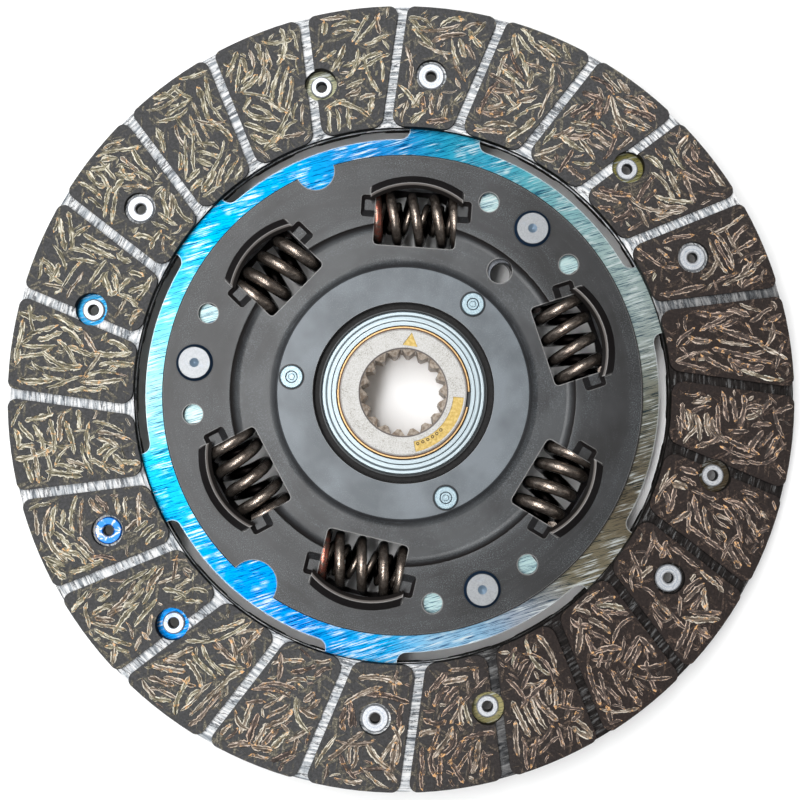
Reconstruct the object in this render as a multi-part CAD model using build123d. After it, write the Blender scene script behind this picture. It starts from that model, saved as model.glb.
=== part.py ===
from build123d import *
import os
from math import atan2, cos, degrees, radians, sin, sqrt

# Clutch disc: two friction linings riveted to a waved cushion disc, which is riveted to a torsional
# damper of six coil springs between two guide plates and the flange of a splined hub.
# Z is the shaft's axis, and z = 0 is midway between the two friction faces. Lengths are in mm and
# angles in degrees, counted from +X towards +Y. "Front" is the +Z side.

# ---------------------------------------------------------------- driving dimensions
# Friction linings. Both are the same moulding: the rear one is the front one turned over.
lining_outer_r = 100.0
lining_inner_r = 68.5
lining_thickness = 3.3
groove_count = 24
groove_width = 2.4
groove_depth = 1.4
groove_lean = 3.7  # the angle a groove turns between the rim and the inner edge
pad_outer_corner_r = 2.1
pad_inner_corner_r = 3.1

# Cushion disc: flat sheet whose wings are set back so that they bear on the rear lining.
cushion_sheet = 0.7
cushion_travel = 0.8
cushion_outer_r = 98.0
cushion_inner_r = 55.0
paddle_count = 6
cushion_slot_inner_r = 65.9
cushion_slot_width = 4.7
cushion_slot_angle = 50.8
cushion_slot_span = 40.5
cushion_slit_width = 1.5
cushion_slit_angle = 65.0
cushion_fold_angle = 35.0
cushion_fold_span = 3.6
cushion_lug_inner_r = 50.9
cushion_lug_half_span = 16.4
cushion_boss_r = 6.2

# Hollow rivets of the linings, on one circle: a row for each lining.
lining_rivet_circle_r = 82.2
lining_rivet_angle = 25.0
lining_rivet_lag = 20.0  # the rear lining's row lies this much further round
lining_rivet_head_r = 3.45
lining_rivet_head_height = 0.8
lining_rivet_shank_r = 2.0
lining_rivet_bore_r = 1.35
lining_rivet_curl_r = 2.8
lining_rivet_curl_height = 0.9
lining_web = 1.3  # what is left of the lining under a rivet's head
counterbore_clearance = 0.55
lining_relief_r = 4.15

# Guide plates: pressed sheet, dished so that a ring of it runs close to the hub flange.
plate_sheet = 2.0
front_plate_margin = 7.7  # of each plate's rim, beyond the circle of the spacer rivets
rear_plate_margin = 5.7
plate_step_r = 44.2
plate_step_run = 1.5
plate_dish = 1.2
plateau_r = 32.1
front_plateau_run = 1.5
front_plateau_rise = 1.2
front_opening_r = 22.9
rear_plateau_run = 2.6
rear_plateau_rise = 3.7
plate_edge_bevel = 0.3
plate_crest_bend = 0.4  # a step is crisp at its top and eases out at its foot
plate_foot_bend = 2.6
flange_gap = 0.25  # between the flange and each guide plate's dish
notch_angles = (111.7, 231.8)
notch_radii = (4.9, 6.0)
sight_hole_r = 2.55
sight_hole_circle_r = 53.8
sight_hole_offset = 14.0

# Windows and springs. Each window: its angle, the kind of spring in it, and how far that spring
# has rolled about its own axis.
spring_circle_r = 45.3
window_side_clearance = 0.1  # between a window's inner edge and the spring
window_corner_r = 1.1
window_stations = (
    ("right_upper", 18.0, "medium", 167.0),
    ("top", 86.0, "nested", 0.0),
    ("left_upper", 136.0, "heavy", 180.0),
    ("left_lower", 208.0, "medium", 300.0),
    ("bottom", 256.5, "nested", 0.0),
    ("right_lower", 328.5, "heavy", 155.0),
)
window_lengths = {"medium": 21.1, "nested": 21.1, "heavy": 19.0}
spring_wires = {"medium": 2.95, "nested": 2.65, "heavy": 3.3}
spring_half_turns = {"medium": 9, "nested": 9, "heavy": 8}
spring_outer_d = 15.0
spring_end_clearance = 0.1
closed_coil_gap = 0.12
spring_end_grinding = 0.2  # from an end coil's middle line, at its tip, to the ground face
inner_spring_wire = 1.7
inner_spring_half_turns = 13
inner_spring_play = 0.35  # radial, inside the outer spring

# Hood over each window: the sheet bent up along an arch, round the spring's outer side.
hood_overhang = 1.3
hood_arch_r = 22.6
hood_crown_gap = 3.1  # between the spring's outer side and the top of the arch
hood_run = 2.1
hood_rise = 2.3
hood_sheet = 1.8
hood_root = 0.6
hood_slit = 0.15
hood_shoulder_gap = 5.1  # the hood's ends start this far outside the spring's axis

# Pressed pocket at each end of a window.
pocket_depth = 1.2
pocket_reach = 3.7
pocket_inner_inset = 0.8  # its inner edge lies this far inside the springs' circle
pocket_outer_offset = 4.9
pocket_inner_slope = 1.9
pocket_outer_slope = 1.1
pocket_end_slope = 0.9
pocket_corner_r = 0.9
pocket_floor_corner_r = 0.3

# Spacer rivets, which join the plates and stop the hub flange.
spacer_count = 3
spacer_angle = 51.8
spacer_circle_r = 53.7
spacer_body_r = 4.0
spacer_shank_r = 3.2
spacer_head_r = 4.7
spacer_head_top_r = 3.95
spacer_head_height = 1.0
spacer_dimple_r = 1.2
spacer_dimple_depth = 0.5
rivet_hole_clearance = 0.05

# Hub and its flange.
damper_turn = 6.0  # how far the hub turns each way in the guide plates
stop_clearance = 0.08
flange_thickness = 4.5
flange_margin = 3.3  # of the flange's rim, beyond the circle of the spacer rivets
flange_window_clearance = 0.3
flange_window_corner_r = 0.6
timing_hole_angle = 51.7
timing_hole_circle_r = 40.0
timing_hole_r = 3.2
timing_hole_lag = -1.6
hub_front_land = 0.45  # of the nose, in front of the retaining ring's groove
hub_rear_z = -17.0
hub_nose_r = 16.1
hub_tail_r = 16.5
hub_edge_bevel = 0.35
collar_root_r = 18.5
collar_tip_r = 20.0
collar_tooth_count = 24
collar_fit = 0.03
collar_recess = 0.05  # the collar stops this far short of the flange's faces
spline_tooth_count = 18
spline_minor_r = 9.43
spline_major_r = 10.95
spline_space_half_minor = 7.4
spline_space_half_major = 1.1
spline_first_space = 13.0
spline_countersink_r = 11.4
mark_depth = 0.35
mark_inner_r = 12.7
mark_outer_r = 15.4
arc_mark_start = 281.5
arc_mark_end = 355.0
arc_mark_dot_r = 0.42
arc_mark_dot_height = 0.2
arc_mark_dot_count = 6
arc_mark_dot_start = 286.5
arc_mark_dot_step = 6.0
triangle_mark_angle = 82.0
triangle_mark_half_span = 9.3
triangle_mark_inner_r = 12.1

# Front friction pack, between the flange and the front plate's plateau.
bush_outer_r = 21.4
bush_step_r = 19.4
bush_step_height = 0.45
bush_bevel = 0.5
bush_line_r = 18.2  # fine turned groove in the top face
bush_line_width = 0.25
bush_line_depth = 0.2
bush_lip_width = 0.35  # rim outside the turned groove in the step
bush_lip_groove_width = 0.45
bush_lip_groove_depth = 0.5
bush_top_z = 3.1
running_clearance = 0.05
washer_edge_clearance = 0.6
peg_angle = 51.9
peg_circle_r = 28.8
peg_head_r = 3.05
peg_head_height = 0.7
peg_shank_r = 1.6
peg_foot_r = 2.6
peg_foot_height = 0.5
peg_foot_sink = 0.2
peg_cup_r = 1.55
peg_cup_depth = 0.35
peg_pip_r = 0.85

# Split retaining ring on the hub's nose.
ring_groove_depth = 0.6
ring_thickness = 0.95
ring_outer_r = 17.1
ring_axial_play = 0.05
ring_gap_angle = 353.8
ring_gap_span = 13.5
ring_nick_angle = 170.3
ring_nick_span = 14.0
ring_nick_depth = 0.4

# Rear friction pack, between the flange and the rear plate's plateau.
rear_bush_sleeve_r = 19.0
rear_bush_rim_r = 21.0
rear_bush_lip_r = 20.4
rear_bush_rim_height = 0.8
rear_bush_lip_height = 0.7
rear_washer_thickness = 1.2
pressure_plate_thickness = 0.9
rear_pack_inner_play = 0.7
rear_pack_outer_r = 30.4
diaphragm_inner_r = 21.6
diaphragm_play = 0.9  # inside the pressure plate's lugs
diaphragm_sheet = 0.6
diaphragm_slot_count = 12
diaphragm_slot_width = 1.6
diaphragm_slot_reach = 3.2
washer_lug_count = 3
washer_lug_width = 6.0
washer_lug_height = 1.0

# ---------------------------------------------------------------- worked-out radii and levels
cushion_slot_outer_r = cushion_slot_inner_r + cushion_slot_width
front_plate_outer_r = spacer_circle_r + front_plate_margin
rear_plate_outer_r = spacer_circle_r + rear_plate_margin
flange_outer_r = spacer_circle_r + flange_margin
face_z = lining_thickness + (cushion_sheet + cushion_travel) / 2
cushion_top = face_z - lining_thickness
cushion_bottom = cushion_top - cushion_sheet
flange_top = cushion_top - plate_dish - flange_gap
flange_bottom = flange_top - flange_thickness
damper_z = (flange_top + flange_bottom) / 2
# Height of a guide plate's inner face above the damper's middle, at its rim and in its dish.
plate_rim_inner = cushion_top - damper_z
plate_dish_inner = plate_rim_inner - plate_dish
rear_plateau_inner = plate_dish_inner + rear_plateau_rise
rear_rim_z = damper_z - plate_rim_inner
rear_plateau_z = damper_z - rear_plateau_inner
window_inner_r = spring_circle_r - spring_outer_d / 2 - window_side_clearance
hood_crown_r = spring_circle_r + spring_outer_d / 2 + hood_crown_gap
hood_shoulder_r = spring_circle_r + hood_shoulder_gap
front_plate_z = cushion_top + plate_sheet
front_plateau_inner_z = damper_z + plate_dish_inner + front_plateau_rise
front_plateau_z = front_plateau_inner_z + plate_sheet
ring_groove_top = bush_top_z + ring_thickness + 2 * ring_axial_play
hub_front_z = ring_groove_top + hub_front_land
through = 3 * (hub_front_z - hub_rear_z)  # longer than any piece is thick, for cutters


# ---------------------------------------------------------------- helpers
def polar(radius, angle, z=0.0):
    return Vector(radius * cos(radians(angle)), radius * sin(radians(angle)), z)


def turned(*points):
    """Solid of revolution about Z from (radius, height) points."""
    return revolve(make_face(Plane.XZ * Polyline(*points, close=True)), Axis.Z)


def turned_with_bends(points, bends):
    """The same, with a bend radius at some of the points."""
    outline = Sketch() + make_face(Polyline(*points, close=True))
    for point, radius in bends.items():
        place = Vector(*point)
        corner = min(outline.vertices(), key=lambda v: (Vector(v) - place).length)
        outline = fillet(corner, radius)
    return revolve(Plane.XZ * outline, Axis.Z)


def spun(shape, angle):
    """The shape turned about Z."""
    return Rot(0, 0, angle) * shape


def ring_of(shape, count, first=0.0):
    """Equally spaced copies of a shape round Z."""
    return [spun(shape, first + 360 * i / count) for i in range(count)]


def sector(inner_r, outer_r, start, end):
    """Face between two radii and two angles."""
    middle = (start + end) / 2
    outline = [
        Line(polar(inner_r, start), polar(outer_r, start)),
        ThreePointArc(polar(outer_r, start), polar(outer_r, middle), polar(outer_r, end)),
        Line(polar(outer_r, end), polar(inner_r, end)),
        ThreePointArc(polar(inner_r, end), polar(inner_r, middle), polar(inner_r, start)),
    ]
    return make_face(Curve() + outline)


def slab(face, bottom, top):
    """A flat face in XY made solid between two heights."""
    return Pos(0, 0, bottom) * extrude(face, top - bottom)


def drill(radius, circle_r, angle, bottom=-through / 2, top=through / 2):
    """Cylinder parallel to Z at a polar place."""
    height = top - bottom
    centre = polar(circle_r, angle, (bottom + top) / 2)
    return Pos(centre) * Cylinder(radius, height)


def row_of(shape, count, first=0.0):
    """Equal separate pieces round Z, kept together as one node."""
    return Compound(ring_of(shape, count, first))


# ---------------------------------------------------------------- friction linings
def lining_pad():
    """One pad between two grooves, with its four corners rounded."""
    pitch = 360 / groove_count
    blank = sector(lining_inner_r, lining_outer_r, -pitch / 2, pitch * 1.7)
    rim_point = polar(lining_outer_r, 0)
    inner_point = polar(lining_inner_r, groove_lean)
    along = inner_point - rim_point
    lean = degrees(atan2(along.Y, along.X))
    middle = (rim_point + inner_point) / 2
    groove = Pos(middle) * Rot(0, 0, lean) * Rectangle(along.length * 1.3, groove_width)
    pieces = (blank - groove - spun(groove, pitch)).faces()
    pad_angle = pitch / 2 + groove_lean / 2
    target = polar((lining_inner_r + lining_outer_r) / 2, pad_angle)
    pad = Sketch() + min(pieces, key=lambda face: (face.center() - target).length)
    split_r = (lining_inner_r + lining_outer_r) / 2
    outer = [v for v in pad.vertices() if Vector(v).length > split_r]
    pad = fillet(outer, pad_outer_corner_r)
    inner = [v for v in pad.vertices() if Vector(v).length < lining_inner_r + 0.01]
    return fillet(inner, pad_inner_corner_r)


def build_lining():
    """Front lining: grooved ring, counterbored for its own rivets, relieved over the others."""
    groove_floor = face_z - groove_depth
    ring = slab(Circle(lining_outer_r) - Circle(lining_inner_r), cushion_top, groove_floor)
    pad = slab(lining_pad(), groove_floor, face_z)
    lining = ring + ring_of(pad, groove_count)
    counterbore_r = lining_rivet_head_r + counterbore_clearance
    web_top = cushion_top + lining_web
    shank_hole_r = lining_rivet_shank_r + rivet_hole_clearance
    cutters = []
    for i in range(paddle_count):
        angle = lining_rivet_angle + 360 * i / paddle_count
        cutters.append(drill(counterbore_r, lining_rivet_circle_r, angle, bottom=web_top))
        cutters.append(drill(shank_hole_r, lining_rivet_circle_r, angle))
        relief_angle = angle + lining_rivet_lag
        cutters.append(drill(lining_relief_r, lining_rivet_circle_r, relief_angle))
    return lining - cutters


def turned_over(shape):
    """A front piece turned over in its plane, so that the two rows of rivets change places."""
    fold = lining_rivet_angle + lining_rivet_lag / 2
    return shape.rotate(Axis((0, 0, 0), tuple(polar(1, fold))), 180)


def build_lining_rivets():
    """Hollow rivets of the front lining: flat head in the counterbore, curled end behind."""
    seat = cushion_top + lining_web
    head = seat + lining_rivet_head_height
    curl = cushion_bottom - lining_rivet_curl_height
    bead = lining_rivet_curl_height / 3
    rivet = turned(
        (lining_rivet_bore_r + bead / 2, curl),
        (lining_rivet_curl_r - bead, curl),
        (lining_rivet_curl_r, curl + bead),
        (lining_rivet_curl_r, cushion_bottom - bead),
        (lining_rivet_curl_r - bead, cushion_bottom),
        (lining_rivet_shank_r, cushion_bottom),
        (lining_rivet_shank_r, seat),
        (lining_rivet_head_r, seat),
        (lining_rivet_head_r, head - bead),
        (lining_rivet_head_r - bead, head),
        (lining_rivet_bore_r + bead, head),
        (lining_rivet_bore_r, head - bead),
        (lining_rivet_bore_r, curl + bead),
    )
    rivet = Pos(lining_rivet_circle_r, 0, 0) * rivet
    return row_of(rivet, paddle_count, lining_rivet_angle)


# ---------------------------------------------------------------- cushion disc
def build_cushion_disc():
    """Sheet ring with six paddles. Half of each paddle is folded back by the cushion travel."""
    share = 360 / paddle_count
    fold_start = cushion_fold_angle - cushion_fold_span / 2
    fold_end = cushion_fold_angle + cushion_fold_span / 2
    slot_half = cushion_slot_span / 2
    slot_middle_r = (cushion_slot_inner_r + cushion_slot_outer_r) / 2
    slot_end_r = (cushion_slot_outer_r - cushion_slot_inner_r) / 2

    blank = Circle(cushion_outer_r) - Circle(cushion_inner_r)
    for i in range(spacer_count):
        lug_angle = spacer_angle + 360 * i / spacer_count
        start = lug_angle - cushion_lug_half_span
        end = lug_angle + cushion_lug_half_span
        blank += sector(cushion_lug_inner_r, cushion_inner_r + 1, start, end)
        blank += Pos(polar(spacer_circle_r, lug_angle)) * Circle(cushion_boss_r)
    for i in range(paddle_count):
        turn = share * i
        middle = cushion_slot_angle + turn
        start, end = middle - slot_half, middle + slot_half
        blank -= sector(cushion_slot_inner_r, cushion_slot_outer_r, start, end)
        blank -= Pos(polar(slot_middle_r, start)) * Circle(slot_end_r)
        blank -= Pos(polar(slot_middle_r, end)) * Circle(slot_end_r)
        wing_start = fold_start + turn
        wing_end = cushion_slit_angle + turn
        blank -= sector(cushion_slot_outer_r, cushion_outer_r + 1, wing_start, wing_end)
        slit_length = cushion_outer_r - slot_middle_r + 2
        slit = Pos(slot_middle_r + slit_length / 2, 0) * Rectangle(slit_length, cushion_slit_width)
        blank -= spun(slit, wing_end)
    disc = slab(blank, cushion_bottom, cushion_top)

    set_back = cushion_bottom - cushion_travel
    wing_face = sector(cushion_slot_outer_r, cushion_outer_r, fold_end, cushion_slit_angle)
    wing_face -= spun(slit, cushion_slit_angle)
    wing = slab(wing_face, set_back, set_back + cushion_sheet)
    # The fold runs a little way into the flat sheet at both of its ends.
    edges = []
    lap = cushion_fold_span / 10
    for angle, bottom in (
        (fold_start - lap, cushion_bottom),
        (fold_start, cushion_bottom),
        (fold_end, set_back),
        (fold_end + lap, set_back),
    ):
        corners = (
            polar(cushion_slot_outer_r, angle, bottom),
            polar(cushion_outer_r, angle, bottom),
            polar(cushion_outer_r, angle, bottom + cushion_sheet),
            polar(cushion_slot_outer_r, angle, bottom + cushion_sheet),
        )
        edges.append(make_face(Polyline(*corners, close=True)))
    fold = loft(edges, ruled=True)
    disc += ring_of(wing + fold, paddle_count)

    shank_hole_r = lining_rivet_shank_r + rivet_hole_clearance
    cutters = []
    for i in range(paddle_count):
        angle = lining_rivet_angle + share * i
        cutters.append(drill(shank_hole_r, lining_rivet_circle_r, angle))
        cutters.append(drill(shank_hole_r, lining_rivet_circle_r, angle + lining_rivet_lag))
    spacer_hole = drill(spacer_shank_r + rivet_hole_clearance, spacer_circle_r, 0)
    cutters += ring_of(spacer_hole, spacer_count, spacer_angle)
    return disc - cutters


# ---------------------------------------------------------------- guide plates
def window_cutter(length):
    """Opening of one window, its middle on +X: straight sides and inner edge, arched top."""
    arch_centre = hood_crown_r - hood_arch_r
    arch_cut_r = hood_arch_r - hood_root * 2 / 3
    reach = hood_shoulder_r - window_inner_r + 1
    body = Pos(window_inner_r + reach / 2, 0) * Rectangle(reach, length)
    corners = [v for v in body.vertices() if v.X < window_inner_r + 0.01]
    body = fillet(corners, window_corner_r)
    cap_width = length + 2 * (hood_overhang + hood_slit)
    cap_reach = hood_crown_r - hood_shoulder_r + 1
    cap = Pos(hood_shoulder_r + cap_reach / 2, 0) * Rectangle(cap_reach, cap_width)
    cap = cap & (Pos(arch_centre, 0) * Circle(arch_cut_r))
    return extrude(body + cap, through / 2, both=True)


def window_hood(length):
    """Bent-up sheet along the window's arched outer edge, for a plate whose rim is its datum."""
    arch_centre = hood_crown_r - hood_arch_r
    run_length = sqrt(hood_run**2 + hood_rise**2)
    out_r, out_z = hood_run / run_length, hood_rise / run_length
    base = plate_rim_inner
    top = base + plate_sheet
    tip = (hood_arch_r - hood_run, top + hood_rise)
    under = (tip[0] - hood_sheet * out_z, tip[1] - hood_sheet * out_r)
    toe_r = under[0] + (under[1] - base) * out_r / out_z
    band = turned(
        (max(toe_r, hood_arch_r) + hood_root, base),
        (hood_arch_r + hood_root, top),
        (hood_arch_r, top),
        tip,
        under,
        (toe_r, base),
    )
    half = length / 2 + hood_overhang
    keep = Pos(hood_arch_r, 0, top) * Box(hood_arch_r, 2 * half, through / 2)
    return Pos(arch_centre, 0, 0) * (band & keep)


def pocket_block(length, side, top):
    """Tapered block of a pressed pocket at one end (side +1 or -1) of a window on +X."""
    inner = spring_circle_r - pocket_inner_inset
    outer = spring_circle_r + pocket_outer_offset
    near = length / 2 - pocket_reach / 2
    far = length / 2 + pocket_reach
    rims = (
        (top, inner, outer, far, pocket_corner_r),
        (
            top - pocket_depth,
            inner + pocket_inner_slope,
            outer - pocket_outer_slope,
            far - pocket_end_slope,
            pocket_floor_corner_r,
        ),
    )
    faces = []
    for z, low, high, end, corner_r in rims:
        middle = side * (near + end) / 2
        rim = RectangleRounded(high - low, end - near, corner_r)
        faces.append(Pos((low + high) / 2, middle, z) * rim)
    return loft(faces, ruled=True)


def guide_plate(outer_r, opening_r, plateau_rise, plateau_run):
    """Dished plate with its windows, above a damper whose middle is z = 0."""
    rim = plate_rim_inner + plate_sheet
    dish = plate_dish_inner + plate_sheet
    crown = dish + plateau_rise
    bevel = plate_edge_bevel
    rim_crest = (plate_step_r, rim)
    rim_foot = (plate_step_r - plate_step_run, dish)
    plateau_foot = (plateau_r + plateau_run, dish)
    plateau_crest = (plateau_r, crown)
    outline = (
        (outer_r, rim - plate_sheet),
        (outer_r, rim - bevel),
        (outer_r - bevel, rim),
        rim_crest,
        rim_foot,
        plateau_foot,
        plateau_crest,
        (opening_r + bevel, crown),
        (opening_r, crown - bevel),
        (opening_r, crown - plate_sheet),
        (plateau_r, crown - plate_sheet),
        (plateau_r + plateau_run, dish - plate_sheet),
        (plate_step_r - plate_step_run, dish - plate_sheet),
        (plate_step_r, rim - plate_sheet),
    )
    bends = {
        rim_crest: plate_crest_bend,
        rim_foot: plate_foot_bend,
        plateau_foot: plate_foot_bend,
        plateau_crest: plate_crest_bend,
    }
    plate = turned_with_bends(outline, bends)
    bosses, cutters, hoods = [], [], []
    for _, angle, kind, _ in window_stations:
        length = window_lengths[kind]
        for side in (-1, 1):
            boss = pocket_block(length, side, plate_rim_inner)
            pocket = pocket_block(length, side, rim)
            bosses.append(spun(boss, angle))
            cutters.append(spun(pocket, angle))
        cutters.append(spun(window_cutter(length), angle))
        hoods.append(spun(window_hood(length), angle))
    spacer_hole = drill(spacer_shank_r + rivet_hole_clearance, spacer_circle_r, 0)
    cutters += ring_of(spacer_hole, spacer_count, spacer_angle)
    cutters.append(drill(timing_hole_r, timing_hole_circle_r, timing_hole_angle))
    return plate + bosses - cutters + hoods


def build_front_guide_plate():
    plate = guide_plate(
        front_plate_outer_r, front_opening_r, front_plateau_rise, front_plateau_run
    )
    cutters = []
    for angle, radius in zip(notch_angles, notch_radii):
        cutters.append(drill(radius, front_plate_outer_r, angle))
    for offset in (-sight_hole_offset, sight_hole_offset):
        sight_hole = drill(sight_hole_r, sight_hole_circle_r, 0)
        cutters += ring_of(sight_hole, spacer_count, spacer_angle + offset)
    peg_hole = drill(peg_shank_r + rivet_hole_clearance, peg_circle_r, 0)
    cutters += ring_of(peg_hole, spacer_count, peg_angle)
    return Pos(0, 0, damper_z) * (plate - cutters)


def build_rear_guide_plate():
    opening_r = rear_bush_sleeve_r + rivet_hole_clearance
    plate = guide_plate(rear_plate_outer_r, opening_r, rear_plateau_rise, rear_plateau_run)
    return Pos(0, 0, damper_z) * mirror(plate, about=Plane.XY)


def build_spacer_rivets():
    """Shouldered rivets: the thick body spaces the plates, and both ends are headed."""
    front_head = front_plate_z + spacer_head_height
    rear_face = rear_rim_z - plate_sheet
    rear_head = rear_face - spacer_head_height
    rivet = turned(
        (0, rear_head + spacer_dimple_depth),
        (spacer_dimple_r, rear_head),
        (spacer_head_top_r, rear_head),
        (spacer_head_r, rear_face),
        (spacer_shank_r, rear_face),
        (spacer_shank_r, rear_rim_z),
        (spacer_body_r, rear_rim_z),
        (spacer_body_r, cushion_bottom),
        (spacer_shank_r, cushion_bottom),
        (spacer_shank_r, front_plate_z),
        (spacer_head_r, front_plate_z),
        (spacer_head_top_r, front_head),
        (spacer_dimple_r, front_head),
        (0, front_head - spacer_dimple_depth),
    )
    rivet = Pos(spacer_circle_r, 0, 0) * rivet
    return row_of(rivet, spacer_count, spacer_angle)


# ---------------------------------------------------------------- damper springs
def coil_spring(length, outer_d, wire_d, half_turns, hand):
    """Coil spring along Y at X = 0, as half-turns that meet tangentially, with ground ends.

    At each end one half-turn is closed and the next eases into the open coils. A hand of 1 is a
    right-hand spring and -1 a left-hand one.
    """
    coil_length = length + 2 * spring_end_grinding
    closed_rise = (wire_d + closed_coil_gap) / 2
    open_rise = (coil_length - 3 * closed_rise) / (half_turns - 3)
    easing_rise = (closed_rise + open_rise) / 2
    ends = [closed_rise, easing_rise]
    rises = ends + [open_rise] * (half_turns - 4) + ends[::-1]
    bend_r = (outer_d - wire_d) / 2
    chord_r = sqrt(bend_r**2 - (max(rises) / 2) ** 2)

    coils = []
    y = -coil_length / 2
    side = -1
    for rise in rises:
        start = Vector(side * chord_r, y, 0)
        end = Vector(-side * chord_r, y + rise, 0)
        centre = (start + end) / 2
        # A right-hand coil passes over the front on its way out and over the back on its way in.
        chord = end - start
        normal = chord.cross(Vector(0, 0, side * hand)).normalized()
        wire_plane = Plane(origin=start, x_dir=chord, z_dir=Vector(0, 0, 1))
        section = wire_plane * Circle(wire_d / 2)
        coils.append(revolve(section, Axis(centre, normal), 180))
        y += rise
        side = -side
    coil = coils[0]
    for more in coils[1:]:
        coil += more
    return coil & Box(2 * outer_d, length, 2 * outer_d)


def damper_spring(kind):
    length = window_lengths[kind] - 2 * spring_end_clearance
    return coil_spring(
        length,
        spring_outer_d,
        spring_wires[kind],
        spring_half_turns[kind],
        1,
    )


def inner_spring(kind):
    """Smaller spring inside a nested one, wound the other way."""
    length = window_lengths[kind] - 2 * spring_end_clearance
    outer_d = spring_outer_d - 2 * spring_wires[kind] - 2 * inner_spring_play
    return coil_spring(length, outer_d, inner_spring_wire, inner_spring_half_turns, -1)


def in_window(shape, angle, roll):
    return spun(Pos(spring_circle_r, 0, damper_z) * Rot(0, roll, 0) * shape, angle)


# ---------------------------------------------------------------- hub and flange
def collar_outline(clearance):
    """Toothed outline of the hub's collar, grown by a clearance."""
    tooth = 360 / collar_tooth_count
    points = []
    for i in range(collar_tooth_count):
        start = i * tooth
        for share, radius in (
            (0.04, collar_root_r),
            (0.36, collar_root_r),
            (0.52, collar_tip_r),
            (0.88, collar_tip_r),
        ):
            points.append(polar(radius + clearance, start + share * tooth))
    return make_face(Polyline(*points, close=True))


def spline_cutter():
    """The bore's section: a round hole at the teeth's tips with a space cut between each two."""
    hole = Circle(spline_minor_r)
    overlap = spline_major_r - spline_minor_r
    lead = spline_minor_r * cos(radians(spline_space_half_minor)) - overlap
    space = make_face(
        Polyline(
            (lead, 0),
            polar(spline_minor_r, spline_space_half_minor),
            polar(spline_major_r, spline_space_half_major),
            polar(spline_major_r, -spline_space_half_major),
            polar(spline_minor_r, -spline_space_half_minor),
            close=True,
        )
    )
    hole += ring_of(space, spline_tooth_count, spline_first_space)
    return extrude(hole, through / 2, both=True)


def build_hub():
    """Splined hub: nose with a ring groove, toothed collar for the flange, plain tail."""
    collar_top = flange_top - collar_recess
    collar_bottom = flange_bottom + collar_recess
    groove_r = hub_nose_r - ring_groove_depth
    bevel = hub_edge_bevel
    hub = turned(
        (0, hub_rear_z),
        (hub_tail_r - bevel, hub_rear_z),
        (hub_tail_r, hub_rear_z + bevel),
        (hub_tail_r, collar_bottom),
        (hub_nose_r, collar_bottom),
        (hub_nose_r, bush_top_z),
        (groove_r, bush_top_z),
        (groove_r, ring_groove_top),
        (hub_nose_r, ring_groove_top),
        (hub_nose_r, hub_front_z - bevel),
        (hub_nose_r - bevel, hub_front_z),
        (0, hub_front_z),
    )
    hub += slab(collar_outline(0), collar_bottom, collar_top)
    sink = spline_countersink_r - spline_minor_r
    for z, deep in ((hub_front_z, hub_front_z - sink), (hub_rear_z, hub_rear_z + sink)):
        hub -= turned((0, z), (spline_countersink_r, z), (spline_minor_r, deep), (0, deep))
    hub -= spline_cutter()

    mark_floor = hub_front_z - mark_depth
    arc_mark = sector(mark_inner_r, mark_outer_r, arc_mark_start, arc_mark_end)
    triangle = make_face(
        Polyline(
            polar(triangle_mark_inner_r, triangle_mark_angle - triangle_mark_half_span),
            polar(triangle_mark_inner_r, triangle_mark_angle + triangle_mark_half_span),
            polar(mark_outer_r, triangle_mark_angle),
            close=True,
        )
    )
    mark_clear = hub_front_z + mark_depth
    hub -= slab(arc_mark, mark_floor, mark_clear)
    hub -= slab(triangle, mark_floor, mark_clear)
    mark_middle_r = (mark_inner_r + mark_outer_r) / 2
    dots = []
    for i in range(arc_mark_dot_count):
        angle = arc_mark_dot_start + arc_mark_dot_step * i
        dot_top = mark_floor + arc_mark_dot_height
        dot_root = mark_floor - arc_mark_dot_height
        dots.append(drill(arc_mark_dot_r, mark_middle_r, angle, dot_root, dot_top))
    return hub + dots


def build_hub_flange():
    """Plate on the hub's collar, with a window for each spring and a recess for each spacer."""
    face = Circle(flange_outer_r) - collar_outline(collar_fit)
    half_height = spring_outer_d / 2 + flange_window_clearance
    for _, angle, kind, _ in window_stations:
        window = Rectangle(2 * half_height, window_lengths[kind])
        window = fillet(window.vertices(), flange_window_corner_r)
        face -= spun(Pos(spring_circle_r, 0) * window, angle)
    stop_r = spacer_body_r + stop_clearance
    recess_inner = spacer_circle_r - stop_r
    recess = sector(recess_inner, flange_outer_r + stop_r, -damper_turn, damper_turn)
    for turn in (-damper_turn, damper_turn):
        mouth = Pos(spacer_circle_r + stop_r, 0) * Rectangle(2 * stop_r, 2 * stop_r)
        recess += spun(Pos(spacer_circle_r, 0) * Circle(stop_r), turn)
        recess += spun(mouth, turn)
    for cut in ring_of(recess, spacer_count, spacer_angle):
        face -= cut
    hole_angle = timing_hole_angle + timing_hole_lag
    face -= Pos(polar(timing_hole_circle_r, hole_angle)) * Circle(timing_hole_r)
    return slab(face, flange_bottom, flange_top)


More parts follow.
